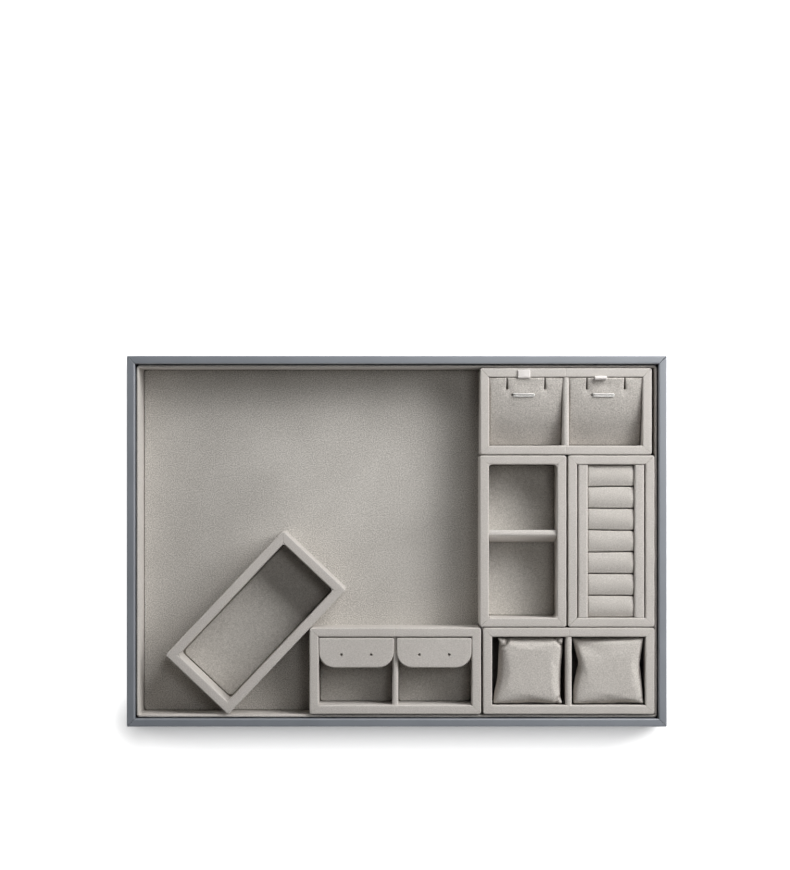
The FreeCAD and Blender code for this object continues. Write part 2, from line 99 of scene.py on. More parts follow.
def gridFaces(rows, columns, around=True):
    # quads between neighbouring rows and columns; around closes the columns on themselves
    r = np.arange(rows - 1)[:, None] * columns
    c = np.arange(columns if around else columns - 1)[None, :]
    n = (c + 1) % columns
    return np.stack([r + c, r + n, r + n + columns, r + c + columns], -1).reshape(-1, 4)


def tube(points):
    # closed shell from a (rows, columns, 3) grid: quads between rows, one face on each end row
    rows, columns = points.shape[:2]
    faces = gridFaces(rows, columns).tolist()
    faces.append(list(range(columns - 1, -1, -1)))
    faces.append(list(range((rows - 1) * columns, rows * columns)))
    return points.reshape(-1, 3), faces


def faceOutwards(mesh, merge=0.0):
    # turns faces outwards; merge, in mm, first joins points closer than that
    work = bmesh.new()
    work.from_mesh(mesh)
    if merge:
        bmesh.ops.remove_doubles(work, verts=work.verts[:], dist=merge * mm)
    bmesh.ops.recalc_face_normals(work, faces=work.faces[:])
    work.to_mesh(mesh)
    work.free()


def addObject(name, data):
    # an object linked to the scene
    piece = bpy.data.objects.new(name, data)
    scene.collection.objects.link(piece)
    return piece


def makePiece(name, shells, material, body, replaced=(), sharp=38):
    # one mesh from several shells (points in mm, faces), smooth where it bends less than the sharp angle
    verts, faces, start = [], [], 0
    for points, quads in shells:
        verts.append(points)
        faces += [[i + start for i in face] for face in quads]
        start += len(points)
    mesh = bpy.data.meshes.new(name)
    mesh.from_pydata((join(verts) * mm).tolist(), [], faces)
    faceOutwards(mesh)
    mesh.shade_smooth()
    mesh.set_sharp_from_angle(angle=math.radians(sharp))
    piece = addObject(name, mesh)
    mesh.materials.append(material)
    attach(piece, body)
    if replaced:
        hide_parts(*replaced)
    return piece


def pointsOf(mesh):
    # the points of a mesh, (n, 3), in metres
    flat = np.empty(len(mesh.vertices) * 3)
    mesh.vertices.foreach_get("co", flat)
    return flat.reshape(-1, 3)


def boxOf(node):
    # lowest and highest corner of a CAD node, in mm
    low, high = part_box(node)
    return np.array(low) / mm, np.array(high) / mm


waveSpread = 1.7  # usual length of three normal draws taken as a vector


def ripple(points, size, height, seed):
    # gentle unevenness in mm: three crossed sine waves about `size` mm long
    rng = np.random.default_rng(seed)
    waves = rng.normal(size=(3, 3)) * 2 * math.pi / size / waveSpread
    phase = rng.uniform(0, 2 * math.pi, 3)
    return height * np.sin(points @ waves.T + phase).mean(-1)


# Sizes read from the frame, in mm

wallLow, wallHigh = boxOf("pendant_box_walls")
baseLow, baseHigh = boxOf("pendant_box_base")
boxLength, boxWidth = (wallHigh - wallLow)[:2]
boxWall = (boxLength - (baseHigh - baseLow)[0]) / 2
boxFloor, rimZ, baseTop = wallLow[2], wallHigh[2], baseHigh[2]
openTurn = 46.6  # degrees, how far the loose box lies turned
seats = {"pendant": 0, "pair": 90, "ring": 90, "watch": 0, "earring": 0, "open": openTurn}


def seated(points, box):
    # turns a piece drawn about a box's own middle and moves it to where that box stands
    low, high = boxOf(box + "_box_walls")
    turn = math.radians(seats[box])
    c, s = math.cos(turn), math.sin(turn)
    x, y, z = np.moveaxis(points, -1, 0)
    middle = (low + high) / 2
    return np.stack([c * x - s * y + middle[0], s * x + c * y + middle[1], z], -1)


# Materials

noiseLow, noiseHigh = 0.3, 0.7  # nearly all values of a noise lie between these
suedeNoise = (("grain", 3.0, 0.65), ("patch", 4.0, 0.5), ("cloud", 3.0, 0.5))  # detail, roughness


def makeSuede(name, look):
    # Microsuede wrapped on board or foam: short brushed nap, so no gloss, a pale bloom at grazing
    # angles, fine pepper grain, and soft clouds where the nap lies over; given a tilt, faces are painted
    # darker or lighter by which way they face, painted shade and light.
    material, tree, shader, coords = startMaterial(name)
    noises, total = {}, None
    for key, detail, rough in suedeNoise:
        noises[key] = addNode(tree, "TexNoise", {"Scale": 1 / (look[key] * mm), "Detail": detail,
                              "Roughness": rough}, Vector=coords)
        swing = look[key + "Tone"]
        part = addNode(tree, "MapRange", {1: noiseLow, 2: noiseHigh, 3: -swing, 4: swing}, Value=noises[key])
        total = part if total is None else addNode(tree, "Math", {"operation": "ADD"}, i0=total, i1=part)
    spread = addNode(tree, "MapRange", {1: -0.5, 2: 0.5, 3: 0.0, 4: 1.0}, Value=total)
    tone = addNode(tree, "ValToRGB", {"stops": ((0, look["dark"]), (1, look["light"]))}, Fac=spread)
    bump = addNode(tree, "Bump", {"Strength": look["bump"], "Distance": look["nap"] * mm},
                   Height=noises["grain"])
    if any(look["paintedTilt"]):
        # painted shade and light by facing: colour * (1 - normal . tilt), so a face turned along the tilt is
        # painted darker and one turned against it painted lighter
        paintedFacing = addNode(tree, "VectorMath", {"operation": "DOT_PRODUCT", 1: look["paintedTilt"]},
                          i0=coords.node.outputs["Normal"])
        share = addNode(tree, "Math", {"operation": "SUBTRACT", 0: 1.0}, i1=paintedFacing.outputs["Value"])
        tone = addNode(tree, "VectorMath", {"operation": "SCALE"}, i0=tone, Scale=share)
    setNode(tree, shader, {"Roughness": 0.95, "Specular IOR Level": 0.15, "Sheen Weight": look["sheen"],
            "Sheen Roughness": 0.45, "Sheen Tint": linear(look["light"])}, Base_Color=tone, Normal=bump)
    return material


# grain is drawn at about 1 mm, coarser than real nap, because finer would not show
suedeLook = {"grain": 0.9, "patch": 3, "cloud": 48, "grainTone": 0.24, "patchTone": 0.03, "cloudTone": 0.04,
             "dark": "#a09b95", "light": "#d9d4cf", "bump": 0.2, "nap": 0.2, "sheen": 0.1, "paintedTilt": (0, 0, 0)}
foamLook = dict(suedeLook, grain=1.0, grainTone=0.28, cloud=30, dark="#9c9791", light="#d7d2cc")
cardLook = dict(suedeLook, grainTone=0.4, patchTone=0.05, cloudTone=0.08, dark="#9d9993", light="#d8d4ce")
suedeBoard = makeSuede("suede_on_board", suedeLook)
suedeFoam = makeSuede("suede_on_foam", foamLook)
suedePillow = makeSuede("suede_on_pillow", dict(foamLook, grain=1.1, grainTone=0.35))
# the pad's suede carries painted shade: faces turned to the front are painted darker
suedePadPaintedShade = makeSuede("suede_on_pad_painted_shade", dict(foamLook, grain=1.1, grainTone=0.44, cloud=26, dark="#9a958f",
                                          paintedTilt=(0, -0.35, 0)))
# the leaf is a lighter copy of the board suede, with faces turned to the front painted lighter and those
# turned to the back painted darker: painted light and shade
suedeLeafPaintedLight = makeSuede("suede_on_leaf_painted_light", dict(suedeLook, dark="#aca7a1", light="#e4dfda", paintedTilt=(0, 0.2, 0)))
suedeCard = makeSuede("suede_on_card", cardLook)
suedeFloor = makeSuede("suede_floor", dict(cardLook, grain=1.0, grainTone=0.68))
# the card under the pillows is painted dark, painted shade for the deep gaps beside the pillows: only
# these gaps show it
suedePaintedShade = makeSuede("suede_under_pillows_painted_shade", dict(suedeLook, dark="#5b5a55", light="#7d7c76"))


def makeWrap():
    # Polyurethane wrap on the frame: satin, calendered with a very fine pebble, so edges carry soft
    # highlights and each rail takes its own tone from the light.
    look = {"colour": "#70767f", "deep": "#6a7079", "pebble": 0.7, "pebbleDeep": 0.08, "streak": 26,
            "roughness": 0.52, "roughSwing": 0.05, "bump": 0.08, "lacquer": 2.1}
    material, tree, shader, coords = startMaterial("satin_wrap")
    pebble = addNode(tree, "TexVoronoi", {"Scale": 1 / (look["pebble"] * mm)}, Vector=coords)
    streak = addNode(tree, "TexNoise", {"Scale": 1 / (look["streak"] * mm), "Detail": 3.0}, Vector=coords)
    stops = (noiseLow, look["deep"]), (noiseHigh, look["colour"])
    tone = addNode(tree, "ValToRGB", {"stops": stops}, Fac=streak)
    low, high = look["roughness"] - look["roughSwing"], look["roughness"] + look["roughSwing"]
    gloss = addNode(tree, "MapRange", {1: noiseLow, 2: noiseHigh, 3: low, 4: high}, Value=streak)
    bump = addNode(tree, "Bump", {"Strength": look["bump"], "Distance": look["pebbleDeep"] * mm},
                   Height=pebble)
    setNode(tree, shader, {"IOR": 1.5, "Specular IOR Level": 1.0, "Coat Weight": 1.0,
            "Coat IOR": look["lacquer"], "Coat Roughness": look["roughness"]},
            Base_Color=tone, Roughness=gloss, Normal=bump)
    return material


satinWrap = makeWrap()
fibreDeep = 0.2  # mm


def makeFibre(name, look):
    # Pressed fibre, felt or grey board: matt, with short crossed fibres and pale flecks.
    material, tree, shader, coords = startMaterial(name)
    fibre = addNode(tree, "TexNoise", {"Scale": 1 / (look["fibre"] * mm), "Detail": 6.0,
                    "Distortion": 1.5}, Vector=coords)
    stops = (noiseLow, look["dark"]), (noiseHigh, look["light"])
    tone = addNode(tree, "ValToRGB", {"stops": stops}, Fac=fibre)
    bump = addNode(tree, "Bump", {"Strength": look["bump"], "Distance": fibreDeep * mm}, Height=fibre)
    setNode(tree, shader, {"Roughness": 0.9, "Specular IOR Level": 0.2}, Base_Color=tone, Normal=bump)
    return material


underFelt = makeFibre("grey_felt", {"fibre": 1.6, "dark": "#4c5058", "light": "#6d727b", "bump": 0.6})
cottonTape = makeFibre("cotton_tape", {"fibre": 1.0, "dark": "#a5a099", "light": "#c6c1ba", "bump": 0.4})
greyBoard = makeFibre("grey_board", {"fibre": 1.2, "dark": "#8d887f", "light": "#aaa69d", "bump": 0.3})
print("materials ready")


# Boards on edge: walls, rails and dividers

wallGrid = {"arcSteps": 7, "faceSteps": 5, "topSteps": 6, "straight": 26, "ends": 12, "lead": 1.2,
            "near": 1.2, "nearSteps": 7, "far": 3, "crowd": 1.6, "seamReach": 0.5}


def boardSection(thick, low, high, radius):
    # loop round a board on edge: up the outer face, quarter arc, flat top, quarter arc, down, foot.
    # returns depth from the outer face, height, and the outward normal of each point
    up = np.linspace(low, high - radius, wallGrid["faceSteps"], endpoint=False)
    turn = quarterTurn(wallGrid["arcSteps"] + 1)
    flat = np.linspace(radius, thick - radius, wallGrid["topSteps"])[1:-1]
    depth = join([0 * up, radius - radius * np.cos(turn), flat,
                  thick - radius + radius * np.sin(turn), 0 * up + thick])
    height = join([up, high - radius + radius * np.sin(turn), 0 * flat + high,
                   high - radius + radius * np.cos(turn), up[::-1]])
    nd = join([0 * up - 1, -np.cos(turn), 0 * flat, np.sin(turn), 0 * up + 1])
    nz = join([0 * up, np.sin(turn), 0 * flat + 1, np.cos(turn), 0 * up])
    return depth, height, nd, nz


def mitredWall(run, reach, section, corner, endRound, seam=0.0, deep=1.0):
    # the section carried from mitre to mitre: straight, then round the outer corner to 45 degrees. within
    # endRound of a mitre it shrinks by a quarter circle to a small V, which deep stretches downwards;
    # seam is the depth of the wrap's butt seam at mid length
    d, z, nd, nz = section
    half, lead = run / 2, wallGrid["lead"]
    flat = np.minimum(half - corner, half - d)
    start = flat - lead
    rho = np.maximum(corner - d, 0)
    total = lead + rho * math.pi / 4
    share = join([np.linspace(0, wallGrid["near"], wallGrid["nearSteps"]) / half,
                  np.linspace(wallGrid["far"] / half, 1, wallGrid["straight"])])[:, None]
    x = share * start
    inset = seam * np.exp(-(x / wallGrid["seamReach"]) ** 2)
    middle = np.stack([x, d - nd * inset, z - nz * inset], -1)
    f = 1 - np.linspace(1, 0, wallGrid["ends"] + 1)[1:, None] ** wallGrid["crowd"]
    dist = f * total
    left = np.clip(endRound - (total - dist), 0, None)
    inset = endRound - np.sqrt(np.clip(endRound ** 2 - left ** 2, 0, None))
    depth = d - nd * inset
    turn = np.clip(dist - lead, 0, None) / np.maximum(rho, 1e-6) * (rho > 0)
    bend = np.clip(corner - depth, 0, None)
    onArc = (dist > lead) & (rho > 0)
    straightX = start + np.minimum(dist, lead) + (rho == 0) * (d - depth)
    endX = np.where(onArc, half - corner + bend * np.sin(turn), straightX)
    endD = np.where(onArc, corner - bend * np.cos(turn), depth)
    tip = np.stack([endX, endD, z - nz * inset * deep], -1)
    side = join([middle, tip])
    other = side[:0:-1] * [-1, 1, 1]
    wall = join([other, side])
    return np.stack([wall[..., 0], reach - wall[..., 1], wall[..., 2]], -1)


def turned(points, quarter):
    # a quarter turn about Z, as often as asked
    x, y, z = np.moveaxis(points, -1, 0)
    for _ in range(quarter):
        x, y = -y, x
    return np.stack([x, y, z], -1)


def wallRing(length, width, section, corner, endRound, seam=0.0, deep=1.0):
    # back, left, front and right walls; the long ones carry the wrap's middle seam
    rings = []
    for quarter in range(4):
        run, reach = (length, width / 2) if quarter % 2 == 0 else (width, length / 2)
        wall = mitredWall(run, reach, section, corner, endRound, seam if quarter % 2 == 0 else 0.0, deep)
        rings.append(turned(wall, quarter))
    return rings


clothSlip = 0.6  # share of a ripple that goes sideways


def soften(points, size, height, seed):
    # cloth over board is never dead flat: moves points up and across by a slow ripple
    wave = ripple(points, size, height, seed)
    return points + np.stack([clothSlip * wave, -clothSlip * wave, wave], -1)


trayParts = {"railRim": 1.2, "railCorner": 1.0, "railEnd": 0.5, "railDeep": 4.0,
             "linerRim": 0.9, "linerCorner": 3.2, "linerEnd": 0.25, "linerDeep": 1.0,
             "linerRipple": (40, 0.15)}


def buildTray():
    # four mitred rails in wrap, and the liner's four suede walls inside them
    sides = ("back", "left", "front", "right")
    for kind, key, material, slot in (("tray_rail", "rail", satinWrap, "leather_wrap"),
                                      ("liner_wall", "liner", suedeBoard, "suede_board")):
        boxes = {side: boxOf(kind + "_" + side) for side in sides}
        low, high = boxes["back"]
        section = boardSection(high[1] - low[1], low[2], high[2], trayParts[key + "Rim"])
        length, width = boxes["right"][1][0] - boxes["left"][0][0], high[1] - boxes["front"][0][1]
        rings = wallRing(length, width, section, trayParts[key + "Corner"], trayParts[key + "End"],
                         deep=trayParts[key + "Deep"])
        for side, ring in zip(sides, rings):
            if key == "liner":
                ring = soften(ring, *trayParts["linerRipple"], len(side))
            makePiece(kind + "_" + side + "_skin", [tube(ring)], material, "tray", [kind + "_" + side])


buildTray()
print("tray built")

wallParts = {"rim": 1.2, "corner": 2.2, "end": 0.45, "seam": 0.16, "ripple": (26, 0.12), "fillet": 2.6,
             "filletDrop": 0.45, "bury": 0.4}


def cornerFillets():
    # where the wrap rounds an inner corner: arc = centre + fillet * (cos t, sin t), closed inside the wall
    radius, bury = wallParts["fillet"], wallParts["bury"]
    turn = quarterTurn()
    plan = np.column_stack([np.cos(turn) - 1, np.sin(turn) - 1]) * radius
    plan = join([[[bury, bury]], [[bury, -radius]], plan, [[-radius, bury]]])
    heights = np.linspace(boxFloor + bury, rimZ - wallParts["filletDrop"], 5)
    shells = []
    for sx, sy in ((1, 1), (-1, 1), (-1, -1), (1, -1)):
        spot = np.array([sx * (boxLength / 2 - boxWall), sy * (boxWidth / 2 - boxWall)])
        flat = spot + plan * [sx, sy]
        shells.append(np.stack([np.column_stack([flat, np.full(len(flat), height)]) for height in heights]))
    return shells


def buildWalls():
    # four mitred walls a box, with rounded inner corners where they show
    section = boardSection(boxWall, boxFloor, rimZ, wallParts["rim"])
    for seed, box in enumerate(seats):
        divided = box in ("pendant", "watch", "earring")
        rings = wallRing(boxLength, boxWidth, section, wallParts["corner"], wallParts["end"],
                         wallParts["seam"] if divided else 0.0)
        shells = [tube(soften(seated(ring, box), *wallParts["ripple"], 10 * seed + i))
                  for i, ring in enumerate(rings)]
        if box in ("pair", "open"):
            shells += [tube(seated(fillet, box)) for fillet in cornerFillets()]
        makePiece(box + "_walls_skin", shells, suedeBoard, box + "_box", [box + "_box_walls"])


buildWalls()
print("box walls built")


# Floor cards

def roundedLoop(length, width, radii, inset, steps=6, least=0.05):
    # plan outline drawn in by inset, corners in the order front right, back right, back left, front left
    points = []
    for k, (sx, sy) in enumerate(((1, -1), (1, 1), (-1, 1), (-1, -1))):
        radius = max(radii[k] - inset, least)
        turn = np.radians(np.linspace(-90, 0, steps + 1) + 90 * k)
        x = sx * (length / 2 - inset - radius) + radius * np.cos(turn)
        y = sy * (width / 2 - inset - radius) + radius * np.sin(turn)
        points.append(np.stack([x, y], -1))
    return join(points)


def softSlab(length, width, low, high, radii, edge, middle=(0, 0)):
    # a board lying flat: its outline carried up the side and over a rounded top and bottom edge
    turn = quarterTurn(5)
    insets = join([edge - edge * np.sin(turn), edge - edge * np.cos(turn)])
    heights = join([low + edge - edge * np.cos(turn), high - edge + edge * np.sin(turn)])
    rows = []
    for inset, height in zip(insets, heights):
        plan = roundedLoop(length, width, radii, inset) + np.array(middle)
        rows.append(np.column_stack([plan, np.full(len(plan), height)]))
    return np.array(rows)


cardParts = {"corner": 3.0, "edge": 0.7, "openGap": 0.5, "openCorner": 4.5}


def buildCards():
    # cards lying flat: whole, half beside a divider, and one over the tray's floor
    halves = [(box + "_box_card_" + side, box) for box in ("watch", "earring") for side in ("left", "right")]
    for node, box in [("pair_box_card", "pair"), ("open_box_card", "open")] + halves:
        halfCard = box in ("watch", "earring")
        low, high = boxOf(node if halfCard else "pair_box_card")
        length, width = (high - low)[[0, 1] if halfCard else [1, 0]]
        seat = sum(boxOf(box + "_box_walls")) / 2
        shift = ((low + high) / 2 - seat)[0] if halfCard else 0
        gap, corner = 0, cardParts["corner"]
        if box == "open":
            gap, corner = cardParts["openGap"], cardParts["openCorner"]
        slab = softSlab(length - 2 * gap, width - 2 * gap, low[2], high[2], [corner] * 4, cardParts["edge"],
                        (shift, 0))
        # the watch box's cards take the dark suede that paints shade into the gaps
        makePiece(node + "_skin", [tube(seated(slab, box))], suedePaintedShade if box == "watch" else suedeCard,
                  box + "_box", [node])
    low, high = boxOf("liner_floor_card")
    slab = softSlab(*(high - low)[:2], low[2], high[2], [cardParts["corner"]] * 4, cardParts["edge"])
    makePiece("liner_floor_skin", [tube(slab)], suedeFloor, "tray", ["liner_floor_card"])


buildCards()
print("floor cards built")


# Dividers

dividerParts = {"rim": 2.5, "ripple": (22, 0.12), "leafRim": 2.4, "leafThick": 5.8, "leafLean": 12.5,
                "leafRipple": (25, 0.1, 5)}


def straightBoard(run, section, rows=24):
    # the board section carried straight along X, its thickness centred on Y
    d, z = section[:2]
    x = np.linspace(-run / 2, run / 2, rows)[:, None] + 0 * d
    return np.stack([x, d.max() / 2 - d + 0 * x, z + 0 * x], -1)


def buildDividers():
    # boards across a box, and a loose leaf turned about X by its lean
    for box in ("pendant", "watch", "earring"):
        low, high = boxOf(box + "_box_divider")
        section = boardSection(high[0] - low[0], low[2], high[2], dividerParts["rim"])
        board = seated(turned(straightBoard(high[1] - low[1], section), 1), box)
        board = soften(board, *dividerParts["ripple"], len(box))
        makePiece(box + "_divider_skin", [tube(board)], suedeBoard, box + "_box", [box + "_box_divider"])
    low, high = boxOf("pair_box_divider")
    lean = math.radians(dividerParts["leafLean"])
    thick = dividerParts["leafThick"]
    tall = (high[2] - low[2] - thick * math.sin(lean)) / math.cos(lean)
    section = boardSection(thick, 0, tall, dividerParts["leafRim"])
    board = soften(straightBoard(high[0] - low[0], section), *dividerParts["leafRipple"])
    x, y, z = np.moveaxis(board, -1, 0)
    c, s = math.cos(lean), math.sin(lean)
    leaf = np.stack([x, y * c + z * s, z * c - y * s], -1)
    leaf += (low + high) / 2 - (leaf.reshape(-1, 3).max(0) + leaf.reshape(-1, 3).min(0)) / 2
    # the leaf takes the lighter suede with painted light on its front face
    makePiece("pair_divider_skin", [tube(leaf)], suedeLeafPaintedLight, "pair_divider", ["pair_box_divider"])


buildDividers()
print("dividers built")


# Ring rack

# ends and drops: how far from its left and right end a roll falls off, and by how much
rackParts = {"rolls": 7, "railRim": 1.7, "railRipple": (24, 0.12, 31), "crown": 1.4, "edge": 1.7, "gap": 0.27,
             "ends": (1.5, 4.5), "drops": (0.8, 1.6), "dropFrom": 8, "dropReach": 10, "sideDraw": 0.3,
             "drift": 0.4, "bend": 0.4, "seed": 7, "ripple": (22, 0.14), "rippleFrom": 12}
rackGrid = {"arc": 8, "side": 6, "top": 27, "along": 61}


def buildRack():
    # rolls: straight sides, a quarter circle at each top edge and height = top - crown * y^2 between,
    # carried from rail to rail; the seam between two rolls drifts a little, and both rolls follow it
    for side in ("left", "right"):
        low, high = boxOf("ring_rack_rail_" + side)
        section = boardSection(high[0] - low[0], low[2], high[2], rackParts["railRim"])
        rail = turned(straightBoard(high[1] - low[1], section), 1) + (low + high) / 2 * [1, 1, 0]
        rail = soften(rail, *rackParts["railRipple"])
        makePiece("rack_rail_" + side + "_skin", [tube(rail)], suedeBoard, "ring_rack",
                  ["ring_rack_rail_" + side])
    rng = np.random.default_rng(rackParts["seed"])
    tilt = rng.uniform(-1, 1, (rackParts["rolls"] + 2, 2)) * rackParts["drift"]
    tilt[[0, -1]] = 0
    for index in range(1, rackParts["rolls"] + 1):
        low, high = boxOf("ring_roll_%d" % index)
        size = high - low
        edge, half, top = rackParts["edge"], size[1] / 2 - rackParts["gap"], size[2]
        turn = quarterTurn(rackGrid["arc"])
        shelf = top - rackParts["crown"] - edge
        wall = np.linspace(0, shelf, rackGrid["side"])[:-1]
        flat = np.linspace(1, -1, rackGrid["top"])[1:-1]
        across = join([0 * wall + half, half - edge + edge * np.cos(turn)])
        rise = join([wall, shelf + edge * np.sin(turn)])
        y = join([across, flat * (half - edge), -across[::-1]])
        z = join([rise, top - rackParts["crown"] * flat ** 2, rise[::-1]])
        u = np.sin(np.linspace(-1, 1, rackGrid["along"]) * math.pi / 2)[:, None]
        reach, drop = (np.where(u < 0, *rackParts[key]) for key in ("ends", "drops"))
        near = np.clip(1 - (1 - np.abs(u)) * size[0] / 2 / reach, 0, 1)
        inset = drop * (1 - np.sqrt(1 - near ** 2))
        x = u * size[0] / 2 + 0 * y
        height = z - inset * np.clip((z - rackParts["dropFrom"]) / rackParts["dropReach"], 0, 1)
        share = (y / half + 1) / 2
        frontSeam, backSeam = (tilt[k, 0] * u + tilt[k, 1] * (u ** 2 - rackParts["bend"])
                               for k in (index, index - 1))
        follow = (frontSeam * (1 - share) + backSeam * share) * np.clip(height / top, 0, 1)
        y = y * (1 - rackParts["sideDraw"] * inset / half) + follow
        roll = np.stack([x, y, height], -1) + [*((low + high) / 2)[:2], low[2]]
        upper = np.clip((height - rackParts["rippleFrom"]) / rackParts["rippleFrom"], 0, 1)
        roll[..., 2] += ripple(roll, *rackParts["ripple"], 40 + index) * upper
        piece = makePiece("ring_roll_%d_cover" % index, [tube(roll)], suedeFoam, "ring_rack",
                          ["ring_roll_%d" % index])


buildRack()
print("ring rack built")


# Pendant pads with their hooks and ribbon pulls

padParts = {"frontDrop": 16.4, "backDrop": 0.3, "bow": 3.1, "crown": 1.0, "shoulder": 2.2, "edge": 1.0,
            "slitSpread": 34.2, "slitLong": 10.2, "slitDeep": 8.0, "slitHalf": 0.68, "slitWall": 0.13,
            "slitEnd": 0.7, "slitInner": 1.25, "slitTaper": 0.6, "lip": 0.6, "lipDrop": 0.55, "lipWide": 0.55,
            "pucker": 0.8, "puckerSize": (3.2, 4.5), "sag": 0.7, "sagSize": (9, 6), "bulge": 0.9,
            "bulgeReach": 9, "bulgePower": 4, "ripple": (30, 0.12), "sharp": 50}
# columns either side of a slit and rows about its inner end, in mm from it
padGrids = {"slope": 36, "slit": 10, "top": 41, "arc": 7, "side": 9,
            "columns": (0.5, 0.6, 0.75, 0.95, 1.2, 1.6, 2.2, 3), "clear": 0.6,
            "rows": (-1.4, -0.9, -0.5, -0.2, 0.1, 0.5, 1), "rowsReach": 2}
hookParts = {"length": 20.0, "wire": 1.0, "spacing": 1.9, "bend": 1.6, "lift": 0.3, "leg": 6.0, "shift": -2.0,
             "fromBack": 15.5, "holeOffset": 0.5,
             "holeRings": ((1.95, 0.6), (1.495, -0.1), (1.3, -0.8), (1.3, -5.0))}


def padFrame(side):
    # one pad from its CAD node: middle, half width, front, back, and the arc of its bowed top,
    # radius = (chord^2 / 4 + bow^2) / (2 bow)
    low, high = boxOf("pendant_pad_" + side)
    rise, depth, bow = padParts["frontDrop"] - padParts["backDrop"], high[1] - low[1], padParts["bow"]
    chord = math.hypot(rise, depth)
    radius = (chord ** 2 / 4 + bow ** 2) / (2 * bow)
    sink = (radius - bow) / chord
    return {"middle": (low[0] + high[0]) / 2, "half": (high[0] - low[0]) / 2, "front": low[1],
            "back": high[1], "radius": radius, "arcY": (low[1] + high[1]) / 2 + sink * rise,
            "arcZ": rimZ - (padParts["frontDrop"] + padParts["backDrop"]) / 2 - sink * depth}


def padTop(y, pad):
    # height of the arc above y
    return pad["arcZ"] + np.sqrt(pad["radius"] ** 2 - (y - pad["arcY"]) ** 2)


def padGrid(side, seed):
    # rows from front to back, columns up one side, over the crowned top and down the other side.
    # height = bowed line - crown * x^2 - edge rounding - slit notch - puckers; back corners swell sideways
    pad = padFrame(side)
    half, front, back = pad["half"], pad["front"], pad["back"]
    edge, shoulder, lipAt = padParts["edge"], padParts["shoulder"], padParts["lip"]
    inner = back - padParts["slitLong"]
    turn = quarterTurn(padGrids["arc"])
    near = padGrids["rowsReach"]
    body = join([np.linspace(front + edge, inner - near, padGrids["slope"])[1:],
                 inner + np.array(padGrids["rows"]),
                 np.linspace(inner + near, back - edge, padGrids["slit"])[:-1]])
    ends = edge * (1 - np.cos(turn))
    y = join([front + ends, body, back - ends[::-1]])[:, None]
    drop = join([edge * (1 - np.sin(turn)), 0 * body, edge * (1 - np.sin(turn[::-1]))])[:, None]
    flat = half - shoulder
    slitX = padParts["slitSpread"] / 2
    right = np.array(padGrids["columns"])
    lips = join([-right[::-1], [0], right])
    plain = np.linspace(-flat, flat, padGrids["top"])
    plain = plain[np.abs(np.abs(plain) - slitX) > right[-1] + padGrids["clear"]]
    x = np.sort(join([plain, slitX + lips, -slitX + lips]))
    fromSlit = np.where(x > 0, x - slitX, x + slitX)
    away = np.abs(fromSlit)
    opening = np.clip((y - inner) / padParts["slitLong"], 0, 1)
    wider = padParts["slitInner"] - padParts["slitTaper"] * opening - 1
    fade = np.clip(1 - (away - lipAt) / (right[-1] - lipAt), 0, 1)
    topX = x + wider * fade * fromSlit
    inSlit = np.clip((y - inner + padParts["slitEnd"] / 2) / padParts["slitEnd"], 0, 1)
    notch = padParts["slitDeep"] * np.clip((padParts["slitHalf"] - away) / padParts["slitWall"], 0, 1)
    lip = padParts["lipDrop"] * np.exp(-((away - lipAt) / padParts["lipWide"]) ** 2) * (away >= lipAt)
    wide, deep = padParts["puckerSize"]
    pull = padParts["pucker"] * np.exp(-(fromSlit / wide) ** 2 - ((y - inner) / deep) ** 2)
    wide, deep = padParts["sagSize"]
    sag = padParts["sag"] * np.exp(-(x / wide) ** 2 - ((y - back + deep) / deep) ** 2)
    spine = padTop(y, pad) - drop
    topZ = spine - padParts["crown"] * (x / flat) ** 2 - (notch + lip) * inSlit - pull - sag
    plan = np.stack(np.broadcast_arrays(topX, y, 0 * topX + 0 * y), -1)
    topZ = topZ + ripple(plan, *padParts["ripple"], seed)
    arc = turn[:-1]
    shelf = spine - padParts["crown"]
    rise = np.linspace(0, 1, padGrids["side"])[:-1]
    share = join([rise ** padParts["bulgePower"], 0 * arc + 1])
    swell = padParts["bulge"] * np.exp(-((back - y) / padParts["bulgeReach"]) ** 2) * share
    leftX = join([0 * rise - half, -half + shoulder * (1 - np.cos(arc))]) - swell
    leftZ = join([baseTop + rise * (shelf - shoulder - baseTop),
                  shelf - shoulder + shoulder * np.sin(arc)], 1)
    gridX = join([leftX, topX + 0 * y, -leftX[:, ::-1]], 1)
    gridZ = join([leftZ, topZ, leftZ[:, ::-1]], 1)
    return np.stack([gridX + pad["middle"], y + 0 * gridX, gridZ], -1)


def onPad(points, side):
    # from a flat drawing to the slope where the hook lies
    pad = padFrame(side)
    y = pad["back"] - hookParts["fromBack"]
    tilt = math.asin((pad["arcY"] - y) / pad["radius"])
    px, py, pz = np.moveaxis(points, -1, 0)
    return np.stack([px + pad["middle"] + hookParts["shift"], y + py * math.cos(tilt) - pz * math.sin(tilt),
                     padTop(y, pad) + py * math.sin(tilt) + pz * math.cos(tilt)], -1)


def sweep(path, radius, sides=14):
    # a round wire along a path: circles square to the tangent
    tangent = np.gradient(path, axis=0)
    tangent /= np.linalg.norm(tangent, axis=1, keepdims=True)
    first = np.cross(tangent, np.array([1, 1, 1]) / math.sqrt(3))
    first /= np.linalg.norm(first, axis=1, keepdims=True)
    second = np.cross(tangent, first)
    turn = np.linspace(0, 2 * math.pi, sides, endpoint=False)
    ring = first[:, None] * np.cos(turn)[None, :, None] + second[:, None] * np.sin(turn)[None, :, None]
    return path[:, None] + radius * ring


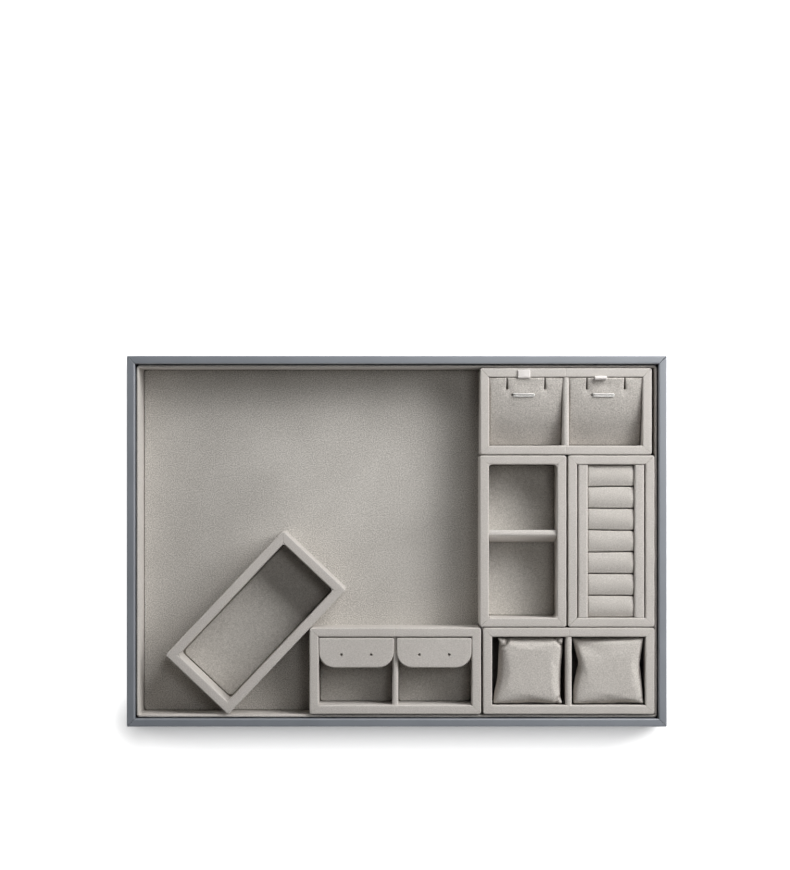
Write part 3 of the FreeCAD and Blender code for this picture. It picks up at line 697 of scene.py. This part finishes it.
def hookPath():
    # up a leg, a quarter bend, along, half a turn round the bight, and the same way back
    wire, bend, side = hookParts["wire"], hookParts["bend"], hookParts["spacing"] / 2
    left, height = wire / 2 - hookParts["length"] / 2, hookParts["lift"] + wire / 2
    right, foot = hookParts["length"] / 2 - wire / 2 - side, height - bend
    turn = quarterTurn()
    leg = np.linspace([left, -side, -hookParts["leg"]], [left, -side, foot], 7)[:-1]
    corner = np.column_stack([left + bend - bend * np.cos(turn), 0 * turn - side, foot + bend * np.sin(turn)])
    run = np.linspace([left + bend, -side, height], [right, -side, height], 14)[1:-1]
    half = np.linspace(-math.pi / 2, 0, 9)
    bight = np.column_stack([right + side * np.cos(half), side * np.sin(half), 0 * half + height])
    one = join([leg, corner, run, bight])
    return join([one, one[-2::-1] * [1, -1, 1]])


ribbonParts = {"width": 11.0, "root": 10.0, "reach": 7.6, "thick": 0.3, "recess": 0.8, "start": 0.2,
               "leftShift": -1.9, "leftLie": (0.7, 0.25), "rightShift": -4.9, "rightLie": (-0.5, 0.1),
               "top": 1.2, "under": 0.65, "bend": 1.5, "innerBend": 0.95, "tip": 0.3, "tipReach": 0.28,
               "neck": 0.4, "loopMiddle": 0.45, "loopRise": 2.0, "loopHalf": 1.7,
               "freeFrom": 1.5, "curl": (5, 0.6), "edgeLift": (7, 0.5)}


def ribbonLeft():
    # a loop pressed flat and laid back over the wall: up, over, a tight fold, and back under itself
    low, start = rimZ - ribbonParts["root"], ribbonParts["start"]
    bend, inner = ribbonParts["bend"], ribbonParts["innerBend"]
    turn = quarterTurn()
    fold = np.linspace(math.pi / 2, -math.pi / 2, 9)
    top, under = rimZ + ribbonParts["top"], rimZ + ribbonParts["under"]
    edge, end = start + bend, ribbonParts["reach"] - ribbonParts["tip"]
    up = np.linspace([start, low], [start, top - bend], 10)
    over = np.column_stack([edge - bend * np.cos(turn), top - bend + bend * np.sin(turn)])[1:]
    lie = np.linspace([edge, top], [end, top], 10)[1:]
    tip = np.column_stack([end + ribbonParts["tipReach"] * np.cos(fold),
                           (top + under) / 2 + (top - under) / 2 * np.sin(fold)])[1:-1]
    back = np.linspace([end, under], [edge, under], 10)
    down = np.column_stack([edge - inner * np.sin(turn), under - inner + inner * np.cos(turn)])[1:]
    root = np.linspace([edge - inner, under - inner], [edge - inner, low], 10)[1:]
    return join([up, over, lie, tip, back, down, root])


def ribbonRight():
    # a loop that stands: up, swelling out, over a half circle and down again
    low, neck = rimZ - ribbonParts["root"], rimZ + ribbonParts["neck"]
    start, middle = ribbonParts["start"], ribbonParts["loopMiddle"]
    crest, half = neck + ribbonParts["loopRise"], ribbonParts["loopHalf"]
    up = np.linspace([start, low], [start, neck], 10)
    t = np.linspace(0, 1, 12)[1:]
    ease = 3 * t ** 2 - 2 * t ** 3
    swell = np.column_stack([start + (middle - half - start) * ease, neck + (crest - neck) * t])
    arch = np.linspace(math.pi, math.pi / 2, 9)[1:]
    top = np.column_stack([middle + half * np.cos(arch), crest + half * np.sin(arch)])
    one = join([up, swell, top])
    return join([one, one[-2::-1] * [-1, 1] + [2 * middle, 0]])


def ribbonSheet(path, shift, skew, wave):
    # the path gets its width along X; skew leans the strip and wave lifts its edges a little
    share = np.linspace(-0.5, 0.5, 15)
    length = join([[0], np.cumsum(np.linalg.norm(np.diff(path, axis=0), axis=1))])
    run = (length / length[-1])[:, None]
    above = np.clip((path[:, 1:] - rimZ) / ribbonParts["freeFrom"], 0, 1)
    turns, phase = ribbonParts["curl"]
    waves, low = ribbonParts["edgeLift"]
    x = shift + share * ribbonParts["width"] + skew * above * (run - 0.5) * 2
    y = path[:, :1] + wave * above * np.sin(share * turns + phase)
    z = path[:, 1:] + low * wave * above * np.cos(share * waves)
    return np.stack(np.broadcast_arrays(x, y, z), -1), length[-1]


def openSheet(points):
    # open shell from a (rows, columns, 3) grid
    return points.reshape(-1, 3), gridFaces(*points.shape[:2], around=False).tolist()


def punch(piece, place, rings, sharp, sides=28):
    # a hole with a dimpled mouth: rings of radius and height about a place make a cutter
    turn = np.linspace(0, 2 * math.pi, sides, endpoint=False)
    ring = np.stack([np.cos(turn), np.sin(turn), 0 * turn], -1)
    radius, height = np.array(rings).T[..., None, None]
    cutter = place + radius * ring + height * np.array([0, 0, 1])
    tool = makePiece("punch", [tube(cutter)], suedeBoard, "tray")
    cut = piece.modifiers.new("punch", "BOOLEAN")
    cut.object = tool
    cut.solver = "EXACT"
    result = bpy.data.meshes.new_from_object(piece.evaluated_get(bpy.context.evaluated_depsgraph_get()))
    piece.modifiers.clear()
    piece.data = result
    result.set_sharp_from_angle(angle=math.radians(sharp))
    bpy.data.objects.remove(tool)


def makeRibbon():
    # White satin ribbon: fine ribs along it, a soft sheen, and flecks a shade greyer. bands is how many
    # bands a wave texture draws in one unit.
    look = {"colour": "#e0dbd8", "shade": "#d3cecb", "rib": 0.5, "bands": 3.2, "ribDeep": 0.05, "fleck": 1.5}
    material, tree, shader, coords = startMaterial("white_satin")
    rib = addNode(tree, "TexWave", {"bands_direction": "X", "Distortion": 0.6,
                  "Scale": 1 / (look["rib"] * mm) / look["bands"]}, Vector=coords)
    fleck = addNode(tree, "TexNoise", {"Scale": 1 / (look["fleck"] * mm), "Detail": 3.0}, Vector=coords)
    tone = addNode(tree, "ValToRGB", {"stops": ((0, look["shade"]), (1, look["colour"]))}, Fac=fleck)
    bump = addNode(tree, "Bump", {"Strength": 0.25, "Distance": look["ribDeep"] * mm},
                   Height=rib.outputs["Fac"])
    setNode(tree, shader, {"Roughness": 0.45, "Sheen Weight": 0.2}, Base_Color=tone, Normal=bump)
    return material


def makeWire():
    # Silver-white plated wire: drawn, so faint lines run along it, with a bright satin metal gloss.
    look = {"colour": "#f4f3f1", "worn": "#e8e7e5", "line": 0.6}
    material, tree, shader, coords = startMaterial("plated_wire")
    stretch = addNode(tree, "Mapping", {"Scale": (0.08, 1.0, 1.0)}, Vector=coords)
    lines = addNode(tree, "TexNoise", {"Scale": 1 / (look["line"] * mm), "Detail": 4.0}, Vector=stretch)
    tone = addNode(tree, "ValToRGB", {"stops": ((0, look["worn"]), (1, look["colour"]))}, Fac=lines)
    gloss = addNode(tree, "MapRange", {1: noiseLow, 2: noiseHigh, 3: 0.4, 4: 0.48}, Value=lines)
    setNode(tree, shader, {"Metallic": 0.4}, Base_Color=tone, Roughness=gloss)
    return material


def buildPendants():
    # pads, each with its hook and ribbon, which ride on it
    satin, wire = makeRibbon(), makeWire()
    for seed, side in enumerate(("left", "right")):
        body = "pendant_pad_" + side
        # the pad cover carries painted shade on its front-facing slope
        pad = makePiece(body + "_cover", [tube(padGrid(side, 60 + seed))], suedePadPaintedShade, body, [body],
                        sharp=padParts["sharp"])
        legs = hookParts["wire"] / 2 - hookParts["length"] / 2 - hookParts["holeOffset"]
        punch(pad, onPad(np.array([legs, 0, 0]), side), hookParts["holeRings"], padParts["sharp"])
        loop = onPad(sweep(hookPath(), hookParts["wire"] / 2), side)
        makePiece("pendant_hook_" + side + "_wire", [tube(loop)], wire, body, ["pendant_hook_" + side],
                  sharp=60)
        frameOf = padFrame(side)
        path = ribbonLeft() if side == "left" else ribbonRight()
        points, length = ribbonSheet(path, ribbonParts[side + "Shift"], *ribbonParts[side + "Lie"])
        points = points + [frameOf["middle"], frameOf["back"] - ribbonParts["recess"], 0]
        name = "pendant_ribbon_" + side
        ribbon = makePiece(name + "_strip", [openSheet(points)], satin, body, [name], sharp=180)
        thick = ribbon.modifiers.new("thickness", "SOLIDIFY")
        thick.thickness = ribbonParts["thick"] * mm
        thick.offset = 0


buildPendants()
print("pendant pads built")


# Earring flaps

flapParts = {"frontCorner": 14.0, "backCorner": 1.3, "edge": 0.95, "holeSpread": 26.9, "holeFromBack": 15.0,
             "hole": 1.05, "holeRings": ((1.9, 0.6), (1.4, 0.02), (1.2075, -0.7), (1.05, -1.3)),
             "through": 1, "sharp": 50, "level": 0.999}


def buildFlaps():
    # rounded boards, each with two stud holes; the level faces stay flat in shading
    front, back = flapParts["frontCorner"], flapParts["backCorner"]
    for side in ("left", "right"):
        node = "earring_flap_" + side
        low, high = boxOf(node)
        middle, size = (low + high) / 2, high - low
        slab = softSlab(*size[:2], low[2], high[2], [front, back, back, front], flapParts["edge"], middle[:2])
        flap = makePiece(node + "_cover", [tube(slab)], suedeBoard, node, [node])
        rings = (*flapParts["holeRings"], (flapParts["hole"], -size[2] - flapParts["through"]))
        for sign in (-1, 1):
            x, y = middle[0] + sign * flapParts["holeSpread"] / 2, high[1] - flapParts["holeFromBack"]
            punch(flap, np.array([x, y, high[2]]), rings, flapParts["sharp"])
        faces = flap.data.polygons
        faces.foreach_set("use_smooth", [abs(face.normal.z) < flapParts["level"] for face in faces])


buildFlaps()
print("earring flaps built")


# Watch pillows

pillowParts = {"steps": 81, "merge": 0.02, "voxel": 1.2, "shrink": 0.6, "seam": 0.74, "edgePower": 14,
               "edgeRoot": 0.4, "pressure": 4.0, "frames": 20, "cap": 1.2, "liftPower": 3, "frontRise": 4.0,
               "frontPower": 5, "dipSize": (0.6, 0.35), "creaseFrom": 0.6, "creaseReach": 4,
               "creaseWide": 1.3}
# seam outline of each pillow in mm from its node's middle, seven values a side, how far its corners
# climb, where and how far the top dips, and its ears: corner, size of the lobe, depth of the crease
pillowShapes = {
    "left": {
        "left": (-31.6, -29.4, -27.1, -26.1, -25.7, -25.4, -28.0),
        "right": (30.6, 28.6, 28.3, 28.5, 29.2, 30.0, 31.4),
        "front": (-29.5, -29.3, -28.8, -28.4, -28.5, -29.0, -29.5),
        "back": (29.5, 28.7, 28.5, 28.5, 28.5, 28.8, 29.5),
        "lift": (0, 1, 5.5, 5), "dip": (0, 1, 0),
        "ears": ((-1, 1, 9.0, 6.0), (1, 1, 6.5, 3.2), (1, -1, 6.0, 3.0))},
    "right": {
        "left": (-31.2, -30.7, -28.7, -26.4, -26.3, -28.4, -31.8),
        "right": (31.8, 31.2, 30.0, 28.8, 29.0, 30.3, 31.8),
        "front": (-29.5, -29.3, -29.0, -28.7, -28.5, -28.7, -29.4),
        "back": (28.9, 28.0, 28.0, 28.4, 28.9, 29.3, 29.6),
        "lift": (0.5, 1.5, -4, 5), "dip": (-1, 1, 5.0), "ears": ((1, -1, 5.0, 0.8),)}}


def curve(values, at):
    # smooth line through seven values spread evenly from -1 to 1
    return np.polyval(np.polyfit(np.linspace(-1, 1, 7), values, 6), at)


def pillowGrid(side):
    # two panels sewn round their edge, between four seam lines: height = rise * ((1-|u|^power)
    # (1-|v|^power))^root above and below a seam that climbs to the front and the corners
    shape = pillowShapes[side]
    low, high = boxOf("watch_pillow_" + side)
    s = np.sin(np.linspace(-1, 1, pillowParts["steps"]) * math.pi / 2)
    u, v = np.meshgrid(s, s, indexing="ij")
    across, along = (u + 1) / 2, (v + 1) / 2
    x = curve(shape["left"], v) * (1 - across) + curve(shape["right"], v) * across
    y = curve(shape["front"], u) * (1 - along) + curve(shape["back"], u) * along
    power = pillowParts["edgePower"]
    swell = np.clip((1 - np.abs(u) ** power) * (1 - np.abs(v) ** power), 0, 1) ** pillowParts["edgeRoot"]
    frontLeft, frontRight, backLeft, backRight = shape["lift"]
    lift = (frontLeft * (1 - across) * (1 - along) + frontRight * across * (1 - along)
            + backLeft * (1 - across) * along + backRight * across * along)
    lift *= np.abs(u * v) ** pillowParts["liftPower"]
    lift += pillowParts["frontRise"] * np.clip(-v, 0, 1) ** pillowParts["frontPower"]
    seam = low[2] + pillowParts["seam"] * (high[2] - low[2]) + lift
    dipU, dipV, dip = shape["dip"]
    wide, deep = pillowParts["dipSize"]
    sink = dip * np.exp(-((u - dipU) / wide) ** 2 - ((v - dipV) / deep) ** 2)
    crest = high[2] - pillowParts["shrink"] - sink
    top = seam + (crest - seam) * swell
    foot = seam + (low[2] + pillowParts["shrink"] - seam) * swell
    middle = (low + high) / 2
    x, y = x + middle[0], y + middle[1]
    return np.stack([x, y, top], -1), np.stack([x, y, foot], -1)


def inflate(piece):
    # cloth with air pressure on a voxel remesh, stepped and applied; no point moves further than the cap
    piece.data.remesh_voxel_size = pillowParts["voxel"] * mm
    bpy.context.view_layer.objects.active = piece
    piece.select_set(True)
    bpy.ops.object.voxel_remesh()
    mesh = piece.data
    before = pointsOf(mesh)
    cloth = piece.modifiers.new("cloth", "CLOTH")
    cloth.settings.use_pressure = True
    cloth.settings.uniform_pressure_force = pillowParts["pressure"]
    cloth.settings.effector_weights.gravity = 0
    cloth.point_cache.frame_end = pillowParts["frames"]
    for frameNumber in range(1, pillowParts["frames"] + 1):
        scene.frame_set(frameNumber)
    result = piece.evaluated_get(bpy.context.evaluated_depsgraph_get()).data
    move = pointsOf(result) - before
    far = np.linalg.norm(move, axis=1, keepdims=True)
    move *= np.minimum(1, pillowParts["cap"] * mm / np.maximum(far, 1e-9))
    piece.modifiers.clear()
    mesh.vertices.foreach_set("co", (before + move).ravel())
    scene.frame_set(1)
    mesh.update()
    print(piece.name, "moved", round(float(far.max() / mm), 2), "mm at most")


def crease(piece, side):
    # ears: an arc pressed in behind a corner, depth * exp(-((distance from it - size) / width)^2)
    low, high = boxOf("watch_pillow_" + side)
    middle, points, shape = (low + high) / 2, pointsOf(piece.data), pillowShapes[side]
    start = low[2] + pillowParts["creaseFrom"] * (high[2] - low[2])
    for sx, sy, size, depth in shape["ears"]:
        cornerX = shape["left" if sx < 0 else "right"][0 if sy < 0 else -1] + middle[0]
        cornerY = shape["front" if sy < 0 else "back"][0 if sx < 0 else -1] + middle[1]
        away = np.hypot(points[:, 0] / mm - cornerX, points[:, 1] / mm - cornerY)
        upper = np.clip((points[:, 2] / mm - start) / pillowParts["creaseReach"], 0, 1)
        points[:, 2] -= mm * depth * upper * np.exp(-((away - size) / pillowParts["creaseWide"]) ** 2)
    piece.data.vertices.foreach_set("co", points.ravel())
    piece.data.update()


def buildPillows():
    # two panels merged at the seam, blown up, creased and subdivided
    for side in ("left", "right"):
        body = "watch_pillow_" + side
        top, bottom = pillowGrid(side)
        faces = gridFaces(*top.shape[:2], around=False)
        shells = [(top.reshape(-1, 3), faces.tolist()), (bottom.reshape(-1, 3), faces[:, ::-1].tolist())]
        pillow = makePiece(body + "_cover", shells, suedePillow, body, [body], sharp=180)
        faceOutwards(pillow.data, pillowParts["merge"])
        inflate(pillow)
        crease(pillow, side)
        fine = pillow.modifiers.new("fine", "SUBSURF")
        fine.levels = fine.render_levels = 1
        pillow.data.shade_smooth()


buildPillows()
print("watch pillows built")

for name, piece in nodes.items():
    skin = greyBoard if "base" in name or "rack_board" in name else suedeBoard
    if name == "tray_felt":
        skin = underFelt
    if "tape" in name:
        skin = cottonTape
    for slot in piece.material_slots:
        slot.material = skin


# Floor, light and camera

studio = {"reach": 3.0, "paperScale": 900.0, "liftNear": 0.14, "liftFar": 0.88, "liftReach": 0.03,
          "liftHalf": 0.235, "liftEdge": -0.168, "sky": 0.03, "cameraPlace": (-0.0016, 0.057, 1.838),
          "focalPixels": 1989.0, "sensor": 24.0, "photoHeight": 870.0, "nadirBelowMiddle": 43.0,
          "clip": 20.0}
# lamps: azimuth and elevation in degrees, distance and size in metres, power in watts
lamps = {"key": (42, 31, 1.45, (1.3, 0.7), 30.0), "front_fill": (285, 17, 2.0, (1.5, 0.7), 10.0),
         "left_fill": (150, 14, 2.0, (1.2, 0.5), 13.0), "top_gloss": (31, 73.5, 1.92, (0.7, 0.4), 3.7)}


def buildFloor():
    # a white sheet under the tray: it takes the shadow; seen directly, in gloss or through glass it also
    # glows, by liftFar, but only by liftNear at the tray's front edge, so a painted shadow lies along that
    # edge and the lamps' shadow elsewhere is lifted to white
    reach = studio["reach"]
    mesh = bpy.data.meshes.new("floor")
    corners = [(-reach, -reach, 0), (reach, -reach, 0), (reach, reach, 0), (-reach, reach, 0)]
    mesh.from_pydata(corners, [], [(0, 1, 2, 3)])
    floor = addObject("floor", mesh)
    material, tree, shader, coords = startMaterial("white_paper")
    grain = addNode(tree, "TexNoise", {"Scale": studio["paperScale"]}, Vector=coords)
    bump = addNode(tree, "Bump", {"Strength": 0.02}, Height=grain)
    rays = addNode(tree, "LightPath").outputs
    seen = rays["Is Camera Ray"]
    for kind in ("Is Glossy Ray", "Is Transmission Ray"):
        seen = addNode(tree, "Math", {"operation": "MAXIMUM"}, i0=seen, i1=rays[kind])
    place = addNode(tree, "SeparateXYZ", Vector=coords).outputs
    fromEdge = addNode(tree, "Math", {"operation": "SUBTRACT", 1: studio["liftEdge"]}, i0=place["Y"])
    beyond = place["X"]
    for kind, value in (("ABSOLUTE", 0.0), ("SUBTRACT", studio["liftHalf"]), ("MAXIMUM", 0.0)):
        beyond = addNode(tree, "Math", {"operation": kind, 1: value}, i0=beyond)
    away = addNode(tree, "CombineXYZ", X=beyond, Y=fromEdge)
    distance = addNode(tree, "VectorMath", {"operation": "LENGTH"}, i0=away)
    # painted shadow: the glow drops to liftNear within liftReach of the tray's front edge
    fade = addNode(tree, "MapRange", {1: 0.0, 2: studio["liftReach"], 3: studio["liftNear"],
                   4: studio["liftFar"]}, Value=distance.outputs["Value"])
    lift = addNode(tree, "Math", {"operation": "MULTIPLY"}, i0=seen, i1=fade)
    setNode(tree, shader, {"Base Color": linear("#f4f4f4"), "Roughness": 0.9, "Specular IOR Level": 0.1,
            "Emission Color": linear("#ffffff")}, Emission_Strength=lift, Normal=bump)
    mesh.materials.append(material)


def buildLight():
    # soft lamps aimed at the tray: a wide key low at the back right, weaker fills, a small one for the
    # wrap's gloss, and a faint even sky; place = distance * (cos el cos az, cos el sin az, sin el)
    for name, (azimuth, elevation, distance, size, power) in lamps.items():
        lamp = bpy.data.lights.new(name, "AREA")
        lamp.shape = "RECTANGLE"
        lamp.size, lamp.size_y = size
        lamp.energy = power
        a, e = math.radians(azimuth), math.radians(elevation)
        piece = addObject(name, lamp)
        flat = distance * math.cos(e)
        piece.location = (flat * math.cos(a), flat * math.sin(a), distance * math.sin(e))
        piece.rotation_euler = (-piece.location).to_track_quat("-Z", "Y").to_euler()
    world = bpy.data.worlds.new("studio")
    scene.world = world
    world.use_nodes = True
    tree = world.node_tree
    tree.nodes.clear()
    sky = addNode(tree, "Background", {"Color": linear("#ffffff"), "Strength": studio["sky"]})
    addNode(tree, "OutputWorld", Surface=sky)


def buildCamera():
    # straight down; the lens from the focal length in pixels, the shift from where the plumb point falls
    lens = bpy.data.cameras.new("camera")
    lens.sensor_fit = "VERTICAL"
    lens.sensor_height = studio["sensor"]
    lens.lens = studio["focalPixels"] * studio["sensor"] / studio["photoHeight"]
    lens.shift_y = studio["nadirBelowMiddle"] / studio["photoHeight"]
    lens.clip_end = studio["clip"]
    camera = addObject("camera", lens)
    camera.location = studio["cameraPlace"]
    bpy.context.scene.camera = camera


buildFloor()
buildLight()
buildCamera()
bpy.context.scene.view_settings.view_transform = "Standard"
print("stage set")
